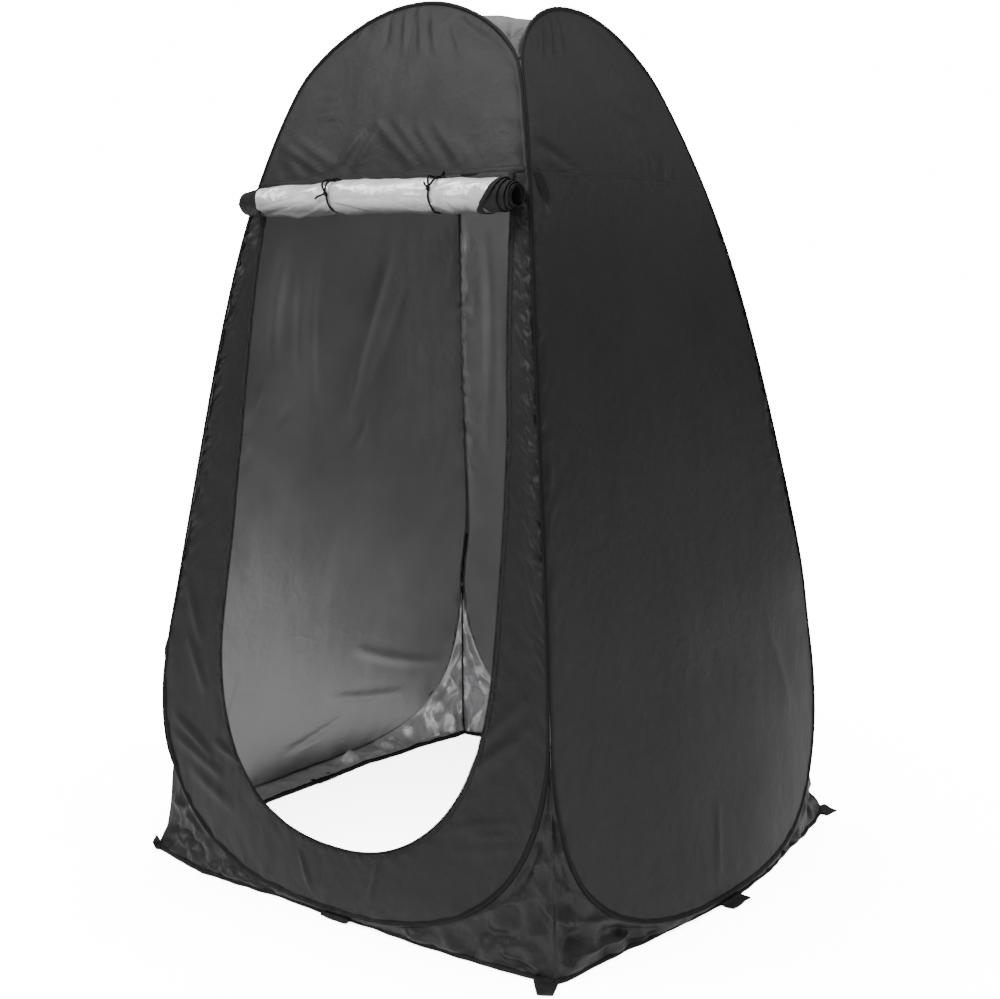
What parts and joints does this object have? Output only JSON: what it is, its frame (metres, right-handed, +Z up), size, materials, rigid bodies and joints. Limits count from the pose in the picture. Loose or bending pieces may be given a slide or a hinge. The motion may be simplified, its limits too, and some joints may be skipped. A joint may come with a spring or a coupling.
{
  "type": "pop-up shower tent",
  "caption": "Free-standing pop-up shower tent of black cloth on sprung hoops, silver inside, with its zip door rolled up over an oval doorway.",
  "frame": {"origin": "middle of the footprint, on the ground", "axes": "+Z up, -Y out of the doorway, +X to the right of someone who faces the doorway from outside"},
  "size_m": [1.4106, 1.3026, 1.9039],
  "materials": {
    "black_taffeta": "black coated taffeta, silver-coated on its inner face",
    "sleeve_black": "black binding sewn round a spring-steel wire",
    "webbing_black": "black woven tape",
    "silver_cloth": "silver-coated inner face of the rolled door",
    "cord_black": "black braided cord"
  },
  "bodies": {
    "root": {"back_gusset_by_left": "black_taffeta", "back_gusset_by_right": "black_taffeta", "back_hem": "webbing_black", "back_hoop": "sleeve_black", "back_left_stake_tab": "webbing_black", "back_lower_panel": "black_taffeta", "back_roof_gore": "black_taffeta", "back_stake_tab": "webbing_black", "back_upper_panel": "black_taffeta", "door_roll": "silver_cloth", "door_zip": "webbing_black", "front_gusset_by_left": "black_taffeta", "front_gusset_by_right": "black_taffeta", "front_hem": "webbing_black", "front_hoop": "sleeve_black", "front_left_jamb": "black_taffeta", "front_right_jamb": "black_taffeta", "front_right_stake_tab": "webbing_black", "front_roof_gore": "black_taffeta", "front_sill": "black_taffeta", "front_stake_tab": "webbing_black", "front_top_panel": "black_taffeta", "left_door_tie": "cord_black", "left_front_stake_tab": "webbing_black", "left_gusset_by_back": "black_taffeta", "left_gusset_by_front": "black_taffeta", "left_hem": "webbing_black", "left_hoop": "sleeve_black", "left_lower_panel": "black_taffeta", "left_roof_gore": "black_taffeta", "left_stake_tab": "webbing_black", "left_upper_panel": "black_taffeta", "right_back_stake_tab": "webbing_black", "right_door_tie": "cord_black", "right_gusset_by_back": "black_taffeta", "right_gusset_by_front": "black_taffeta", "right_hem": "webbing_black", "right_hoop": "sleeve_black", "right_lower_panel": "black_taffeta", "right_roof_gore": "black_taffeta", "right_stake_tab": "webbing_black", "right_upper_panel": "black_taffeta"}
  },
  "joints": []
}
